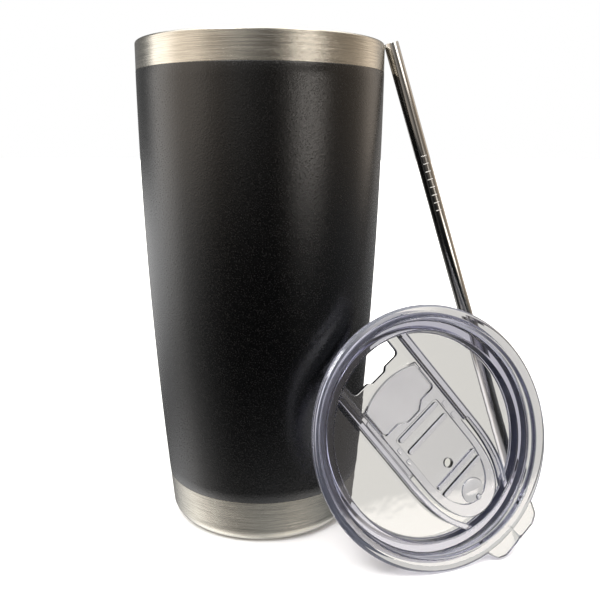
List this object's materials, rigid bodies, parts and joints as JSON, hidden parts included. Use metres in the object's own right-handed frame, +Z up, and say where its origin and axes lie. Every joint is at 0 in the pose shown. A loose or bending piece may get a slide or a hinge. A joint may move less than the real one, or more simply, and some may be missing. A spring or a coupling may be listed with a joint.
{
  "type": "insulated tumbler with lid",
  "caption": "Tapered double-wall steel tumbler with a black coated body, a clear slide lid leaning beside it on its edge, and a steel drinking straw.",
  "frame": {"origin": "middle of the cup's flat base, on the surface that it stands on", "axes": "+Z up along the cup's axis; the lid leans beside the cup towards +X and -Y, with its top side facing -Y"},
  "size_m": [0.1469, 0.104, 0.175],
  "materials": {
    "brushed_steel": "fine brushing round the cup, satin",
    "liner_steel": "satin stainless inside",
    "black_coat": "powder coat, matte with a fine orange-peel grain",
    "clear_plastic": "clear moulded plastic, glossy, faint violet in thick edges",
    "seal_pad": "soft translucent grey, satin",
    "dark_silicone": "dark slate silicone, satin",
    "straw_steel": "polished stainless tube",
    "glass_bead": "brown solder glass",
    "getter_metal": "dull sintered pellet"
  },
  "bodies": {
    "cup": {"outer_shell": "brushed_steel", "powder_coat": "black_coat", "inner_liner": "liner_steel", "vacuum_base": "liner_steel", "seal_bead": "glass_bead", "getter_clip": "liner_steel", "getter": "getter_metal", "base_cover": "brushed_steel"},
    "lid": {"lid_body": "clear_plastic", "lid_gasket": "dark_silicone"},
    "slider": {"slider": "clear_plastic", "slider_seal": "seal_pad"},
    "straw": {"straw": "straw_steel"}
  },
  "joints": [
    {"name": "lid_lift", "type": "slide", "parent": "cup", "child": "lid", "axis": [0.2807, -0.9126, 0.2974], "range_m": [0, 0.08]},
    {"name": "slider_close", "type": "slide", "parent": "lid", "child": "slider", "axis": [-0.6262, 0.0606, 0.7773], "range_m": [0, 0.0095]},
    {"name": "straw_lift", "type": "slide", "parent": "cup", "child": "straw", "axis": [-0.2966, 0.0248, 0.9547], "range_m": [0, 0.12]}
  ]
}
